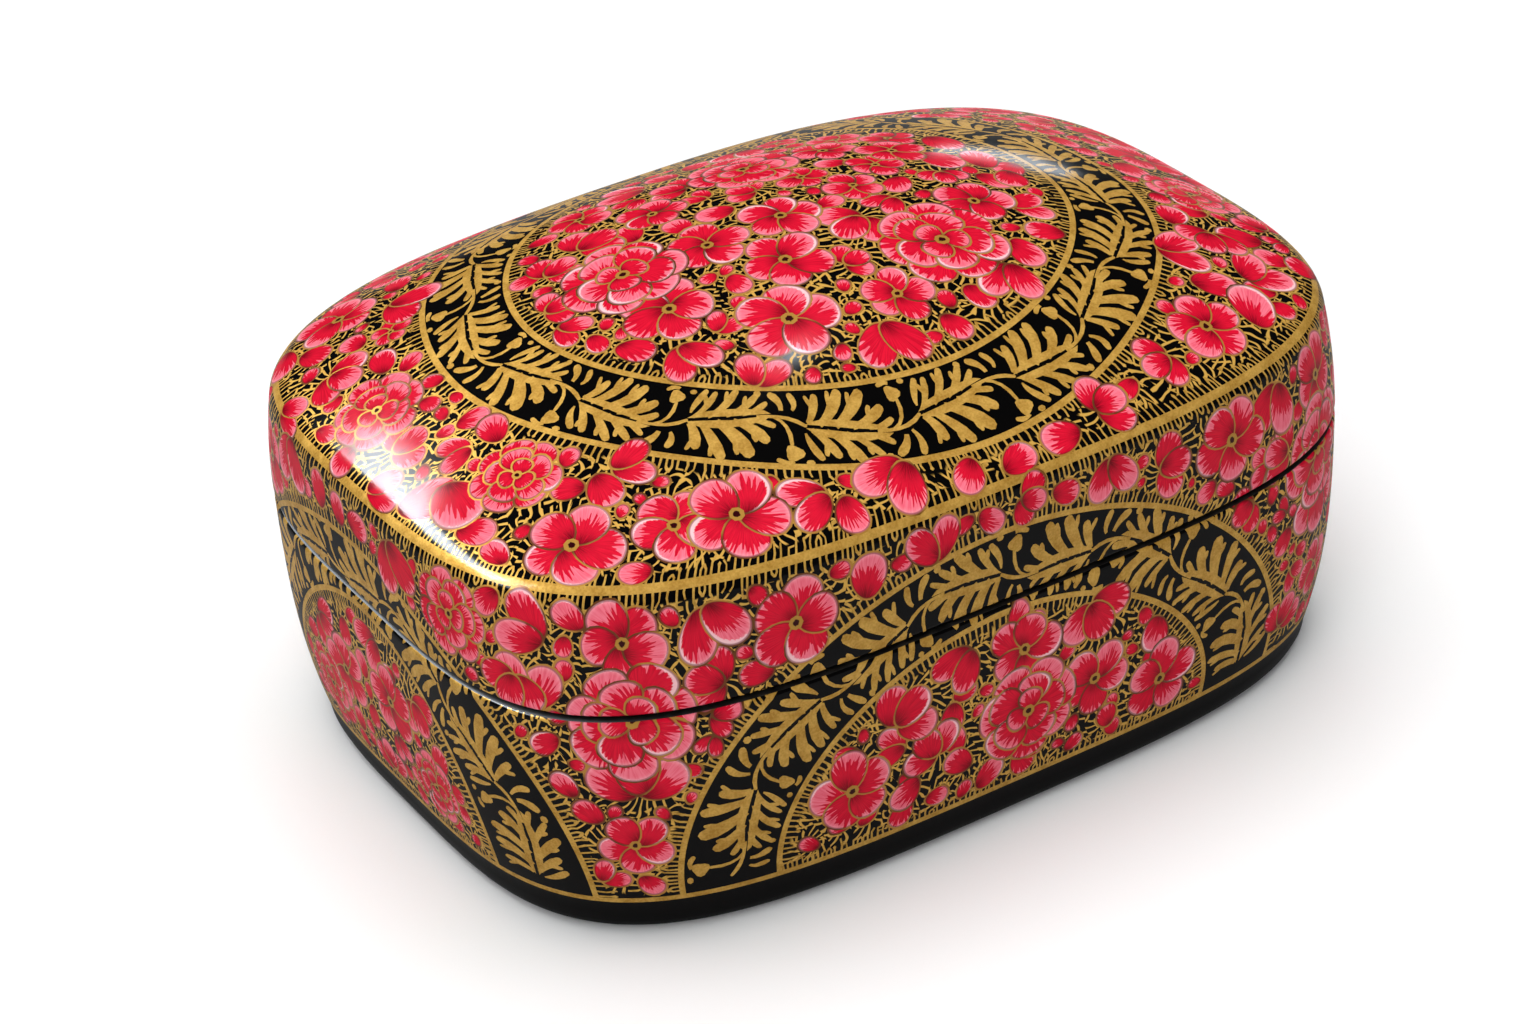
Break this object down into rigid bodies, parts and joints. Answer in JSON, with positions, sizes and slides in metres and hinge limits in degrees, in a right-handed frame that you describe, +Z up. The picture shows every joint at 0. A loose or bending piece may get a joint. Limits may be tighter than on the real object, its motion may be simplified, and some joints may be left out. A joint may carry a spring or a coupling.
{
  "type": "trinket box",
  "caption": "Rounded rectangular papier-mache trinket box with a domed lid that lifts off an inner collar, black lacquered with gold and pink painted flowers.",
  "frame": {"origin": "on the surface the box stands on, under the middle of its plan", "axes": "+X along the box's length, +Y across it, +Z up, the way the lid lifts"},
  "size_m": [0.102, 0.0766, 0.0524],
  "materials": {
    "black_lacquer": "gloss",
    "black_paint": "satin",
    "gold_paint": "satin",
    "pink_paint": "gloss"
  },
  "bodies": {
    "base": {"base_wall": "black_lacquer", "bottom_board": "black_paint", "locating_collar": "black_paint"},
    "lid": {"lid_shell": "black_lacquer"}
  },
  "joints": [
    {"name": "lid_lift", "type": "slide", "parent": "base", "child": "lid", "axis": [0, 0, 1], "range_m": [0, 0.06]}
  ]
}
